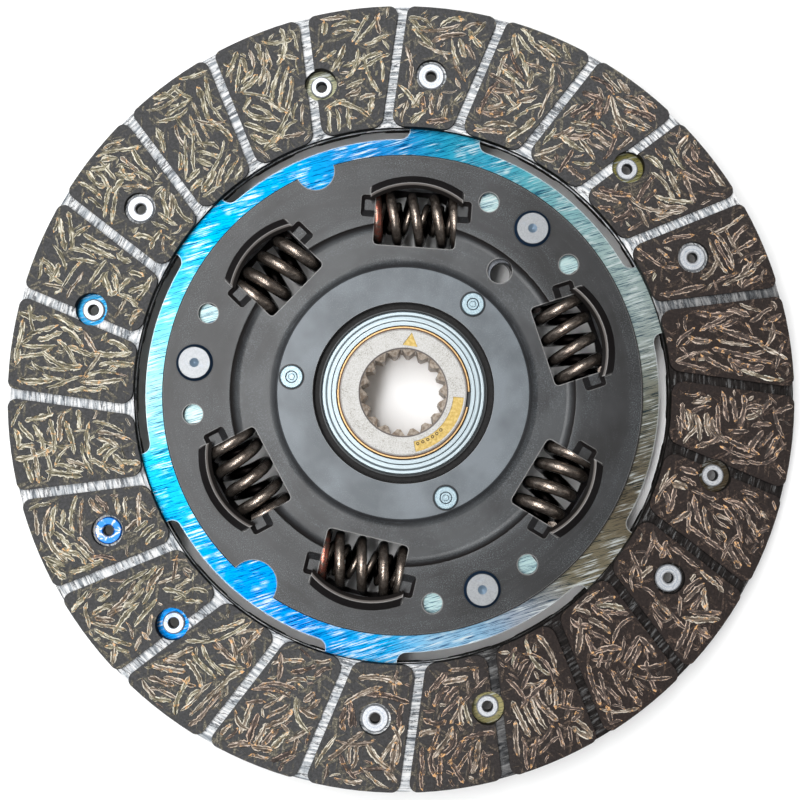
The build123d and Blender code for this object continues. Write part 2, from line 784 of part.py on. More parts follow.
# ---------------------------------------------------------------- front friction pack
def build_front_bush():
    """Stepped ring on the hub's nose, held down by the retaining ring, with two turned grooves."""
    inner_r = hub_nose_r + running_clearance
    bottom = flange_top
    rim_top = bush_top_z - bush_step_height
    small_bevel = bush_bevel / 2
    lip_inner_r = bush_outer_r - bush_lip_width
    line_floor = bush_top_z - bush_line_depth
    groove_floor = rim_top - bush_lip_groove_depth
    return turned(
        (inner_r, bottom),
        (bush_outer_r, bottom),
        (bush_outer_r, rim_top - small_bevel),
        (lip_inner_r, rim_top - small_bevel),
        (lip_inner_r - bush_lip_groove_width / 2, groove_floor),
        (lip_inner_r - bush_lip_groove_width, rim_top),
        (bush_step_r + bush_bevel, rim_top),
        (bush_step_r, bush_top_z),
        (bush_line_r + bush_line_width, bush_top_z),
        (bush_line_r + bush_line_width / 2, line_floor),
        (bush_line_r, bush_top_z),
        (inner_r + small_bevel, bush_top_z),
        (inner_r, bush_top_z - small_bevel),
    )


def build_retaining_ring():
    """Split ring in the groove of the hub's nose."""
    inner_r = hub_nose_r - ring_groove_depth + running_clearance
    bottom = bush_top_z + ring_axial_play
    top = bottom + ring_thickness
    ring = turned(
        (inner_r, bottom),
        (ring_outer_r, bottom),
        (ring_outer_r, top - plate_edge_bevel),
        (ring_outer_r - plate_edge_bevel, top),
        (inner_r, top),
    )
    half_gap = ring_gap_span / 2
    gap = sector(inner_r - 2, ring_outer_r + 2, ring_gap_angle - half_gap, ring_gap_angle + half_gap)
    half_nick = ring_nick_span / 2
    nick_r = ring_outer_r - ring_nick_depth
    nick = sector(nick_r, ring_outer_r + 2, ring_nick_angle - half_nick, ring_nick_angle + half_nick)
    return ring - slab(gap, bottom - 1, top + 1) - slab(nick, bottom - 1, top + 1)


def build_front_friction_washer():
    """Washer pegged under the front plate's plateau, running on the flange and round the bush."""
    inner_r = bush_outer_r + running_clearance
    outer_r = plateau_r - washer_edge_clearance
    bottom = flange_top + running_clearance
    washer = slab(Circle(outer_r) - Circle(inner_r), bottom, front_plateau_inner_z)
    foot_top = bottom + peg_foot_sink + peg_foot_height
    foot_hole = drill(peg_foot_r + rivet_hole_clearance, peg_circle_r, 0, bottom - 1, foot_top)
    shank_hole = drill(peg_shank_r + rivet_hole_clearance, peg_circle_r, 0)
    cutters = ring_of(foot_hole, spacer_count, peg_angle)
    cutters += ring_of(shank_hole, spacer_count, peg_angle)
    return washer - cutters


def build_washer_pegs():
    """Small rivets with a cupped head, holding the front friction washer to the plate."""
    foot = flange_top + running_clearance + peg_foot_sink
    foot_top = foot + peg_foot_height
    seat = front_plateau_z
    head = seat + peg_head_height
    cup = head - peg_cup_depth
    peg = turned(
        (0, foot),
        (peg_foot_r, foot),
        (peg_foot_r, foot_top),
        (peg_shank_r, foot_top),
        (peg_shank_r, seat),
        (peg_head_r, seat),
        (peg_head_r, head - peg_cup_depth),
        (peg_head_r - peg_cup_depth, head),
        (peg_cup_r, head),
        (peg_cup_r - peg_cup_depth / 2, cup),
        (peg_pip_r, cup),
        (peg_pip_r - peg_cup_depth / 2, head - peg_cup_depth / 3),
        (0, head - peg_cup_depth / 3),
    )
    peg = Pos(peg_circle_r, 0, 0) * peg
    return row_of(peg, spacer_count, peg_angle)


# ---------------------------------------------------------------- rear friction pack
rear_washer_top = flange_bottom - running_clearance
rear_washer_bottom = rear_washer_top - rear_washer_thickness
pressure_plate_bottom = rear_washer_bottom - pressure_plate_thickness
rear_pack_inner_r = hub_tail_r + rear_pack_inner_play


def build_rear_friction_washer():
    face = Circle(rear_pack_outer_r) - Circle(rear_pack_inner_r)
    return slab(face, rear_washer_bottom, rear_washer_top)


def build_pressure_plate():
    """Steel ring behind the rear washer, with lugs bent down its outer edge."""
    ring = Circle(rear_pack_outer_r) - Circle(rear_pack_inner_r)
    plate = slab(ring, pressure_plate_bottom, rear_washer_bottom)
    lug_middle = rear_pack_outer_r - pressure_plate_thickness / 2
    lug_top = pressure_plate_bottom
    lug = Pos(lug_middle, 0, lug_top - washer_lug_height / 2) * Box(
        pressure_plate_thickness, washer_lug_width, washer_lug_height
    )
    return plate + ring_of(lug, washer_lug_count, spacer_angle)


def build_diaphragm_spring():
    """Slotted cone washer that presses the rear pack on the flange."""
    top = pressure_plate_bottom
    bottom = rear_plateau_z
    outer = rear_pack_outer_r - pressure_plate_thickness - diaphragm_play
    inner = diaphragm_inner_r
    cone = turned(
        (inner, top),
        (outer, bottom + diaphragm_sheet),
        (outer, bottom),
        (outer - diaphragm_sheet, bottom),
        (inner, top - diaphragm_sheet),
    )
    slot = Pos(inner + diaphragm_slot_reach / 2, 0) * Rectangle(
        diaphragm_slot_reach, diaphragm_slot_width
    )
    slot += Pos(inner + diaphragm_slot_reach, 0) * Circle(diaphragm_slot_width / 2)
    slot += Pos(inner, 0) * Rectangle(2, diaphragm_slot_width)
    return cone - ring_of(slab(slot, bottom - 1, top + 1), diaphragm_slot_count)


def build_rear_bush():
    """Plastic sleeve in the rear plate's opening, in which the hub's tail turns."""
    inner_r = hub_tail_r + running_clearance
    plate_face = rear_plateau_z - plate_sheet
    sleeve = rear_bush_sleeve_r
    return turned(
        (inner_r, rear_plateau_z + rear_bush_rim_height),
        (rear_bush_rim_r, rear_plateau_z + rear_bush_rim_height),
        (rear_bush_rim_r, rear_plateau_z),
        (sleeve, rear_plateau_z),
        (sleeve, plate_face),
        (rear_bush_lip_r, plate_face),
        (rear_bush_lip_r - plate_edge_bevel, plate_face - rear_bush_lip_height),
        (inner_r + plate_edge_bevel, plate_face - rear_bush_lip_height),
        (inner_r, plate_face - rear_bush_lip_height + plate_edge_bevel),
    )


# ---------------------------------------------------------------- all the pieces
front_lining = build_lining()
front_lining_rivets = build_lining_rivets()

pieces = {
    "front_lining": front_lining,
    "rear_lining": turned_over(front_lining),
    "front_lining_rivets": front_lining_rivets,
    "rear_lining_rivets": turned_over(front_lining_rivets),
    "cushion_disc": build_cushion_disc(),
    "front_guide_plate": build_front_guide_plate(),
    "rear_guide_plate": build_rear_guide_plate(),
    "spacer_rivets": build_spacer_rivets(),
    "hub": build_hub(),
    "hub_flange": build_hub_flange(),
    "front_bush": build_front_bush(),
    "retaining_ring": build_retaining_ring(),
    "front_friction_washer": build_front_friction_washer(),
    "washer_pegs": build_washer_pegs(),
    "rear_friction_washer": build_rear_friction_washer(),
    "pressure_plate": build_pressure_plate(),
    "diaphragm_spring": build_diaphragm_spring(),
    "rear_bush": build_rear_bush(),
}
for place, angle, kind, roll in window_stations:
    pieces[f"damper_spring_{place}"] = in_window(damper_spring(kind), angle, roll)
    if kind == "nested":
        pieces[f"inner_spring_{place}"] = in_window(inner_spring(kind), angle, roll)

os.makedirs("parts", exist_ok=True)
for name, piece in pieces.items():
    export_step(piece, f"parts/{name}.step")
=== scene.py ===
from math import cos, pi, radians, sin, tau
from random import Random

import bpy
from mathutils import Matrix, Vector
from mathutils.bvhtree import BVHTree


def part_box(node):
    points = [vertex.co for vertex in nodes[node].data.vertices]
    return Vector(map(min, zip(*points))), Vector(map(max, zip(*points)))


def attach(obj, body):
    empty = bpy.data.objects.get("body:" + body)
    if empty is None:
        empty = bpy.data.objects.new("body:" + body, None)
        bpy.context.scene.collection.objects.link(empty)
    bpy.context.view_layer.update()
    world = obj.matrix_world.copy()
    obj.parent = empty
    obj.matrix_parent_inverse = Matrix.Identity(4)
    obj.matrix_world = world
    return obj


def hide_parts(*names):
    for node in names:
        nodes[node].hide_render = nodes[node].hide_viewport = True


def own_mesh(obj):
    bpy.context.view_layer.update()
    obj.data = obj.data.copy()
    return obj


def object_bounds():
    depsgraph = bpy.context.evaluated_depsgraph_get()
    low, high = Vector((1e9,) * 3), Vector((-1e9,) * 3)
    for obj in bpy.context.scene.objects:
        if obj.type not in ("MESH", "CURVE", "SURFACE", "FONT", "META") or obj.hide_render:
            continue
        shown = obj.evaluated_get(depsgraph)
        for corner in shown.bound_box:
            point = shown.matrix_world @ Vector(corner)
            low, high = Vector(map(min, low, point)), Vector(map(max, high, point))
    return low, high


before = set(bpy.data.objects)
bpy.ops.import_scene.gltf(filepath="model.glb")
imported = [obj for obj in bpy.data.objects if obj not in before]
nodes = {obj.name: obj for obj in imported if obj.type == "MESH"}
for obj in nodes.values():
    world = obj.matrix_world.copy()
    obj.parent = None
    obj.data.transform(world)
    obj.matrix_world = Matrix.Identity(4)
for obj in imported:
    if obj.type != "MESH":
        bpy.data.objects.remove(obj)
cad_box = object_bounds()

MM = 0.001

# ---------------------------------------------------------------- places, in millimetres
lining_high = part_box("front_lining")[1]
face_z = lining_high.z / MM
lining_outer_r = lining_high.x / MM
lining_inner_r = 68.5
lining_rivet_row = (82.2, 25.0, 6)  # circle radius, first angle, count
peg_row = (28.8, 51.9, 3)
spacer_row = (53.7, 51.8, 3)
sight_rows = ((53.8, 37.8, 3), (53.8, 65.8, 3))
punched_dots = (13.45, -74.4, 5.85, 6)  # circle radius, first angle, step, count
hood_top_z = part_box("front_guide_plate")[1].z / MM
hub_face_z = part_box("hub")[1].z / MM
bore_r = 11.4
damper_z = (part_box("hub_flange")[0].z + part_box("hub_flange")[1].z) / 2 / MM
spring_circle_r = 45.3
spring_angles = {
    "right_upper": 18.0,
    "top": 86.0,
    "left_upper": 136.0,
    "left_lower": 208.0,
    "bottom": 256.5,
    "right_lower": 328.5,
}

# Camera: it stands nearly straight above the disc.
camera_place = Vector((0.0, -13.0, 380.0)) * MM
camera_tilt_x = radians(3.869)
camera_tilt_y = radians(-1.354)
camera_lens = 66.52
camera_shift = (-0.0480, -0.0704)
sensor_width = 36.0


# ---------------------------------------------------------------- shader helpers
def colour(red, green, blue):
    """A colour as seen on screen, 0 to 255, made linear for a shader."""
    linear = []
    for part in (red, green, blue):
        share = part / 255
        linear.append(share / 12.92 if share <= 0.04045 else ((share + 0.055) / 1.055) ** 2.4)
    return (*linear, 1.0)


def grey(level):
    return colour(level, level, level)


def lit(red, green, blue, share=0.5):
    """The base colour of a polished metal that shows as this colour under the overhead light."""
    tone = colour(red, green, blue)
    return (tone[0] * share, tone[1] * share, tone[2] * share, 1.0)


class Look:
    """A material under construction. Each call adds a node and returns its output."""

    def __init__(self, name):
        self.material = bpy.data.materials.new(name)
        self.material.use_nodes = True
        self.tree = self.material.node_tree
        self.tree.nodes.clear()
        self.place = self.add("ShaderNodeTexCoord").outputs["Object"]
        self.mm = self.scaled(self.place, 1 / MM)
        split = self.add("ShaderNodeSeparateXYZ")
        self.tree.links.new(self.mm, split.inputs[0])
        self.x, self.y, self.z = split.outputs
        self.radius = self.math("SQRT", self.math("ADD", self.math("MULTIPLY", self.x, self.x),
                                                  self.math("MULTIPLY", self.y, self.y)))
        self.angle = self.math("ARCTAN2", self.y, self.x)

    def add(self, kind, **settings):
        node = self.tree.nodes.new(kind)
        for key, value in settings.items():
            setattr(node, key, value)
        return node

    def feed(self, socket, value):
        if isinstance(value, bpy.types.NodeSocket):
            self.tree.links.new(value, socket)
        else:
            socket.default_value = value

    def math(self, operation, a, b=0.0, c=0.0, clamp=False):
        node = self.add("ShaderNodeMath", operation=operation, use_clamp=clamp)
        for socket, value in zip(node.inputs, (a, b, c)):
            self.feed(socket, value)
        return node.outputs[0]

    def scaled(self, vector, factor):
        node = self.add("ShaderNodeVectorMath", operation="SCALE")
        self.feed(node.inputs[0], vector)
        self.feed(node.inputs[3], factor)
        return node.outputs[0]

    def shifted(self, vector, by):
        node = self.add("ShaderNodeVectorMath", operation="ADD")
        self.feed(node.inputs[0], vector)
        self.feed(node.inputs[1], by)
        return node.outputs[0]

    def join(self, x, y, z=0.0):
        node = self.add("ShaderNodeCombineXYZ")
        for socket, value in zip(node.inputs, (x, y, z)):
            self.feed(socket, value)
        return node.outputs[0]

    def noise(self, vector, scale, detail=3.0, roughness=0.55, distortion=0.0):
        node = self.add("ShaderNodeTexNoise")
        self.feed(node.inputs["Vector"], vector)
        node.inputs["Scale"].default_value = scale
        node.inputs["Detail"].default_value = detail
        node.inputs["Roughness"].default_value = roughness
        node.inputs["Distortion"].default_value = distortion
        return node.outputs["Fac"]

    def cells(self, vector, scale, randomness=1.0, feature="F1"):
        node = self.add("ShaderNodeTexVoronoi", feature=feature)
        self.feed(node.inputs["Vector"], vector)
        node.inputs["Scale"].default_value = scale
        node.inputs["Randomness"].default_value = randomness
        return node

    def step(self, value, low, high):
        """0 below low, 1 above high, smooth between. High may be under low, to turn it round."""
        node = self.add("ShaderNodeMapRange", interpolation_type="SMOOTHSTEP")
        self.feed(node.inputs["Value"], value)
        node.inputs["From Min"].default_value = low
        node.inputs["From Max"].default_value = high
        return node.outputs["Result"]

    def band(self, value, low, high, soft):
        """1 between low and high, 0 outside."""
        return self.math(
            "MULTIPLY", self.step(value, low - soft, low + soft), self.step(value, high + soft, high - soft)
        )

    def ramp(self, value, stops, smooth=False):
        node = self.add("ShaderNodeValToRGB")
        band = node.color_ramp
        band.interpolation = "EASE" if smooth else "LINEAR"
        while len(band.elements) < len(stops):
            band.elements.new(1.0)
        for element, (position, tone) in zip(band.elements, stops):
            element.position = position
            element.color = tone
        self.feed(node.inputs[0], value)
        return node.outputs["Color"]

    def mix(self, share, a, b, blend="MIX"):
        node = self.add("ShaderNodeMix", data_type="RGBA", blend_type=blend)
        self.feed(node.inputs[0], share)
        self.feed(node.inputs[6], a)
        self.feed(node.inputs[7], b)
        return node.outputs[2]

    def up(self):
        """How far the true surface faces along +Z or -Z: 1 on flat faces, 0 on walls."""
        geometry = self.add("ShaderNodeNewGeometry")
        split = self.add("ShaderNodeSeparateXYZ")
        turn = self.add("ShaderNodeVectorTransform", vector_type="NORMAL",
                        convert_from="WORLD", convert_to="OBJECT")
        self.tree.links.new(geometry.outputs["True Normal"], turn.inputs[0])
        self.tree.links.new(turn.outputs[0], split.inputs[0])
        return split.outputs["Z"]

    def outward(self):
        """How far the true surface faces away from the axis: 1 outward, -1 inward."""
        geometry = self.add("ShaderNodeNewGeometry")
        dot = self.add("ShaderNodeVectorMath", operation="DOT_PRODUCT")
        flat = self.add("ShaderNodeVectorMath", operation="NORMALIZE")
        self.tree.links.new(self.join(self.x, self.y, 0.0), flat.inputs[0])
        turn = self.add("ShaderNodeVectorTransform", vector_type="NORMAL",
                        convert_from="WORLD", convert_to="OBJECT")
        self.tree.links.new(geometry.outputs["True Normal"], turn.inputs[0])
        self.tree.links.new(turn.outputs[0], dot.inputs[0])
        self.tree.links.new(flat.outputs[0], dot.inputs[1])
        return dot.outputs["Value"]

    def from_row(self, row):
        """Distance from the nearest centre of a row of places round Z: radius, first angle, count."""
        circle_r, first, count = row
        turn = self.math("DIVIDE", self.angle, tau / count)
        whole_turns = 100.5
        moved = self.math("ADD", turn, whole_turns - first * count / 360)
        folded = self.math("SUBTRACT", self.math("FRACT", moved), 0.5)
        bearing = self.math("MULTIPLY", folded, tau / count)
        u = self.math("SUBTRACT", self.math("MULTIPLY", self.radius, self.math("COSINE", bearing)), circle_r)
        v = self.math("MULTIPLY", self.radius, self.math("SINE", bearing))
        return self.math("SQRT", self.math("ADD", self.math("MULTIPLY", u, u), self.math("MULTIPLY", v, v)))

    def edges(self, reach_mm):
        """1 along the sheet's outward edges, within this reach of them."""
        node = self.add("ShaderNodeAmbientOcclusion", inside=True, only_local=True, samples=4)
        node.inputs["Distance"].default_value = reach_mm * MM
        return self.step(node.outputs["AO"], 0.9, 0.6)

    def stretched(self, angle, along, across):
        """Coordinates in the disc's plane, turned by an angle, in lengths along and across it."""
        c, s = cos(radians(angle)), sin(radians(angle))
        u = self.math("ADD", self.math("MULTIPLY", self.x, c), self.math("MULTIPLY", self.y, s))
        v = self.math("SUBTRACT", self.math("MULTIPLY", self.y, c), self.math("MULTIPLY", self.x, s))
        return self.join(
            self.math("DIVIDE", u, along), self.math("DIVIDE", v, across), self.math("MULTIPLY", self.z, 0.3)
        )

    def round_about(self, turns, rings):
        """Seamless coordinates round Z: how many features in a turn, and how many in a millimetre."""
        unit_x = self.math("DIVIDE", self.x, self.radius)
        unit_y = self.math("DIVIDE", self.y, self.radius)
        spread = turns / tau
        inward = self.math("MULTIPLY", self.radius, rings)
        depth = self.math("ADD", inward, self.math("MULTIPLY", self.z, rings))
        return self.join(self.math("MULTIPLY", unit_x, spread), self.math("MULTIPLY", unit_y, spread), depth)

    def finish(self, base, roughness, metallic=0.0, bump=None, bump_mm=0.05, bevel_mm=0.0, **constants):
        """Closes the material. Constants are set on the shader's own sockets."""
        shader = self.add("ShaderNodeBsdfPrincipled")
        self.feed(shader.inputs["Base Color"], base)
        self.feed(shader.inputs["Roughness"], roughness)
        self.feed(shader.inputs["Metallic"], metallic)
        for name, value in constants.items():
            shader.inputs[name.replace("_", " ")].default_value = value
        normal = None
        if bevel_mm:
            rounded = self.add("ShaderNodeBevel", samples=4)
            rounded.inputs["Radius"].default_value = bevel_mm * MM
            normal = rounded.outputs[0]
        if bump is not None:
            dent = self.add("ShaderNodeBump")
            dent.inputs["Strength"].default_value = 1.0
            dent.inputs["Distance"].default_value = bump_mm * MM
            self.feed(dent.inputs["Height"], bump)
            if normal is not None:
                self.tree.links.new(normal, dent.inputs["Normal"])
            normal = dent.outputs[0]
        if normal is not None:
            self.tree.links.new(normal, shader.inputs["Normal"])
        output = self.add("ShaderNodeOutputMaterial")
        self.tree.links.new(shader.outputs[0], output.inputs["Surface"])
        return self.material


def dress(piece, material):
    piece.data.materials.clear()
    piece.data.materials.append(material)


# ---------------------------------------------------------------- friction linings
def lining_look():
    """Charcoal moulded matrix with buried strands; crumpled pale groove floors; painted shade on the walls,
    in the groove creases, on the right-hand groove floors and towards the lower right.
    """
    look = Look("friction_lining")
    height = look.math("ABSOLUTE", look.z)
    flat = look.step(look.math("ABSOLUTE", look.up()), 0.55, 0.8)
    in_groove = look.math("MULTIPLY", flat, look.step(height, face_z - 0.5, face_z - 0.9))
    # Painted shade: the side of the disc towards the lower right is painted darker and browner.
    painted_shade_side = look.step(look.math("COSINE", look.math("ADD", look.angle, radians(22.0))), 0.1, 0.85)

    grain = look.noise(look.mm, 1.5, detail=6, roughness=0.7)
    cloud = look.noise(look.mm, 0.07, detail=2)
    lit_side_matrix = look.ramp(grain, [(0.25, grey(44)), (0.5, colour(66, 66, 67)), (0.8, colour(88, 88, 90))])
    shaded_side_matrix = look.ramp(grain, [(0.25, colour(22, 18, 17)), (0.5, colour(40, 33, 31)),
                                     (0.8, colour(60, 51, 47))])
    matrix = look.mix(painted_shade_side, lit_side_matrix, shaded_side_matrix)
    # Buried strands show faintly in three directions.
    buried = 0.0
    for turn, seed in ((23.0, 3.1), (84.0, 8.7), (141.0, 5.3)):
        waver = look.scaled(look.join(cloud, grain, seed), 0.6)
        warped = look.shifted(look.stretched(turn, 6.0, 1.25), waver)
        cell = look.cells(warped, 1.0)
        strand = look.step(cell.outputs["Distance"], 0.42, 0.22)
        kept = look.math("GREATER_THAN", look.noise(warped, 0.9, detail=0), 0.5)
        buried = look.math("MAXIMUM", buried, look.math("MULTIPLY", strand, kept))
    fleck = look.noise(look.mm, 2.6, detail=4, roughness=0.8)
    lit_side_strand = look.ramp(fleck, [(0.38, colour(62, 60, 54)), (0.5, colour(96, 92, 80)),
                                    (0.62, colour(164, 156, 138))])
    shaded_side_strand = look.ramp(fleck, [(0.38, colour(38, 33, 31)), (0.5, colour(58, 49, 44)),
                                     (0.62, colour(120, 100, 88))])
    strand_tone = look.mix(painted_shade_side, lit_side_strand, shaded_side_strand)
    pad = look.mix(look.math("MULTIPLY", buried, 0.75), matrix, strand_tone)
    scuff = look.noise(look.stretched(33.0, 3.0, 0.3), 1.0, detail=4, roughness=0.8)
    pad = look.mix(look.math("MULTIPLY", look.step(scuff, 0.68, 0.76), 0.4), pad, colour(150, 146, 140))

    # Groove floors: crumpled, with most of the creases across them; the dark lines along the folds are
    # painted shade in the creases.
    crumple = look.shifted(look.round_about(44.0, 0.62), look.scaled(look.join(cloud, grain, fleck), 0.35))
    swell = look.noise(crumple, 1.0, detail=3, roughness=0.6, distortion=0.7)
    fold = look.step(look.math("ABSOLUTE", look.math("SUBTRACT", swell, 0.5)), 0.035, 0.006)
    facet = look.noise(crumple, 2.1, detail=2, distortion=0.4)
    pale = look.ramp(facet, [(0.36, colour(132, 138, 144)), (0.46, colour(186, 190, 194)), (0.6, grey(232))])
    pale = look.mix(look.math("MULTIPLY", fold, 0.85), pale, colour(62, 66, 72))
    # Painted shade: groove floors on the right are painted dark, the others pale.
    shaded_groove_floor = look.ramp(facet, [(0.4, colour(22, 18, 17)), (0.54, colour(36, 32, 31)),
                             (0.66, colour(92, 92, 92))])
    shaded_groove_floor = look.mix(fold, shaded_groove_floor, colour(14, 12, 11))
    painted_shade_right = look.step(look.math("COSINE", look.math("ADD", look.angle, radians(30.0))), 0.45, 0.8)
    groove = look.mix(painted_shade_right, pale, shaded_groove_floor)

    # Painted shade: the walls of the pads and grooves are painted near black, with brown flecks.
    wall = look.mix(look.step(look.noise(look.mm, 1.8, detail=5, roughness=0.8), 0.62, 0.8),
                    colour(22, 20, 18), colour(120, 96, 60))
    side = look.step(look.math("ABSOLUTE", look.up()), 0.6, 0.4)
    base = look.mix(in_groove, pad, groove)
    base = look.mix(side, base, wall)
    rough = look.math("ADD", look.math("MULTIPLY", grain, 0.3), 0.5)
    relief = look.math("ADD", look.math("MULTIPLY", look.math("MULTIPLY", swell, in_groove), 3.0),
                       look.math("ADD", grain, look.math("MULTIPLY", buried, 0.8)))
    return look.finish(base, rough, bump=relief, bump_mm=0.12, bevel_mm=0.22, Specular_IOR_Level=0.12)


def strand_look():
    """Torn strands of glass yarn, brass and copper, streaked lengthways, with dark outlines."""
    look = Look("lining_strands")
    along = look.add("ShaderNodeAttribute", attribute_name="strand_place").outputs["Vector"]
    tone = look.add("ShaderNodeAttribute", attribute_name="strand_tone").outputs["Fac"]
    edge = look.add("ShaderNodeAttribute", attribute_name="strand_edge").outputs["Fac"]
    tip = look.add("ShaderNodeAttribute", attribute_name="strand_tip").outputs["Fac"]
    streak = look.noise(along, 1.0, detail=5, roughness=0.72, distortion=0.5)
    fray = look.noise(look.mm, 1.7, detail=5, roughness=0.75)
    straw = look.ramp(streak, [(0.37, colour(34, 32, 28)), (0.43, colour(80, 76, 62)),
                               (0.5, colour(116, 110, 88)),
                               (0.56, colour(160, 152, 126)), (0.62, colour(238, 233, 218))])
    tan = look.ramp(streak, [(0.37, colour(34, 29, 26)), (0.43, colour(76, 65, 54)),
                             (0.5, colour(110, 96, 82)),
                             (0.56, colour(160, 145, 128)), (0.62, colour(238, 227, 216))])
    copper = look.ramp(streak, [(0.38, colour(32, 27, 25)), (0.46, colour(56, 47, 43)),
                                (0.54, colour(76, 63, 57)),
                                (0.6, colour(128, 106, 94)), (0.67, colour(214, 190, 172))])
    base = look.mix(look.step(tone, 0.3, 0.5), straw, tan)
    base = look.mix(look.step(tone, 0.5, 0.7), base, copper)
    # Bright torn fibres run along both edges, broken up, with a dark line outside them.
    bright = look.mix(look.step(tone, 0.45, 0.7), colour(240, 235, 220), colour(222, 198, 180))
    ragged = look.math("ADD", edge, look.math("MULTIPLY", look.math("SUBTRACT", fray, 0.5), 0.9))
    broken = look.step(look.noise(look.mm, 0.55, detail=3, roughness=0.7), 0.44, 0.56)
    line = look.math("MULTIPLY", look.band(ragged, 0.5, 0.72, 0.06), broken)
    base = look.mix(look.math("MULTIPLY", line, 0.85), base, bright)
    # Bent and broken ends catch the light in warm glints.
    flicker = look.noise(look.mm, 0.8, detail=4, roughness=0.7)
    blaze = look.math("ADD", flicker, look.math("MULTIPLY", tip, 0.09))
    glint = look.math("MULTIPLY", look.step(blaze, 0.6, 0.66), look.step(streak, 0.42, 0.5))
    base = look.mix(look.math("MULTIPLY", glint, 0.85), base, colour(238, 184, 124))
    base = look.mix(look.step(ragged, 0.76, 0.88), base, colour(22, 20, 19))
    rough = look.math("SUBTRACT", 0.66, look.math("MULTIPLY", streak, 0.35))
    relief = look.math("ADD", streak, look.math("MULTIPLY", fray, 0.5))
    return look.finish(base, rough, metallic=0.12, bump=relief, bump_mm=0.3, Specular_IOR_Level=0.35)


class StrandField:
    """Gathers curved strands with ragged sides into one mesh."""

    rows = (-1.0, -0.6, 0.0, 0.6, 1.0)
    lifts = (-0.12, 0.7, 1.0, 0.7, -0.12)

    def __init__(self, seed, side):
        self.rng = Random(seed)
        self.side = side
        self.points, self.faces, self.places = [], [], []
        self.tones, self.edges, self.tips = [], [], []

    def outline(self, centre, heading, length, width, bend):
        """Middle line of a strand as (place, direction, half width) at each step."""
        steps = max(5, round(length * 1.6))
        blunt = self.rng.choice((3.0, 6.0, 12.0))
        sway = self.rng.gauss(0, 0.12)
        line = []
        for i in range(steps):
            share = i / (steps - 1) * 2 - 1
            turn = heading + bend * share
            place = centre + Vector((cos(heading), sin(heading))) * length / 2 * share
            curve = bend * length / 4 * share * share + sway * sin(pi * share)
            place += Vector((-sin(heading), cos(heading))) * curve
            half = width / 2 * max(0.0, 1 - abs(share) ** blunt) ** 0.6
            line.append((place, turn, half * self.rng.uniform(0.6, 1.15)))
        return line

    def lay(self, line, lift, tone):
        first = len(self.points)
        seed = self.rng.uniform(0, 50)
        length = 0.0
        before = line[0][0]
        for i, (place, turn, half) in enumerate(line):
            length += (place - before).length
            before = place
            across = Vector((-sin(turn), cos(turn)))
            for row, rise in zip(self.rows, self.lifts):
                edge = place + across * half * row
                height = face_z + lift * rise * (0.35 + 0.65 * half / max(half, 0.45))
                self.points.append((edge.x * MM, edge.y * MM, self.side * height * MM))
                self.places.append((length * 0.3, half * row * 2.6, seed))
                self.tones.append(tone)
                self.edges.append(abs(row))
                self.tips.append(abs(i / (len(line) - 1) * 2 - 1) ** 3)
        count = len(self.rows)
        for i in range(len(line) - 1):
            for j in range(count - 1):
                a = first + i * count + j
                quad = (a, a + 1, a + count + 1, a + count)
                self.faces.append(quad if self.side < 0 else quad[::-1])

    def build(self, name):
        mesh = bpy.data.meshes.new(name)
        mesh.from_pydata(self.points, [], self.faces)
        place = mesh.attributes.new("strand_place", "FLOAT_VECTOR", "POINT")
        place.data.foreach_set("vector", [part for row in self.places for part in row])
        shares = {"strand_tone": self.tones, "strand_edge": self.edges, "strand_tip": self.tips}
        for key, values in shares.items():
            mesh.attributes.new(key, "FLOAT", "POINT").data.foreach_set("value", values)
        mesh.shade_smooth()
        piece = bpy.data.objects.new(name, mesh)
        bpy.context.scene.collection.objects.link(piece)
        return piece


def pad_probe(node, side):
    """Tells whether a place lies on a pad's friction face, by looking at the lining itself."""
    mesh = nodes[node].data
    tree = BVHTree.FromPolygons([v.co for v in mesh.vertices], [p.vertices for p in mesh.polygons])
    reach = 0.02
    way = Vector((0, 0, -side))

    def on_pad(place):
        start = Vector((place.x * MM, place.y * MM, side * reach))
        hit = tree.ray_cast(start, way)[0]
        return hit is not None and abs(abs(hit.z) / MM - face_z) < 0.02

    return on_pad


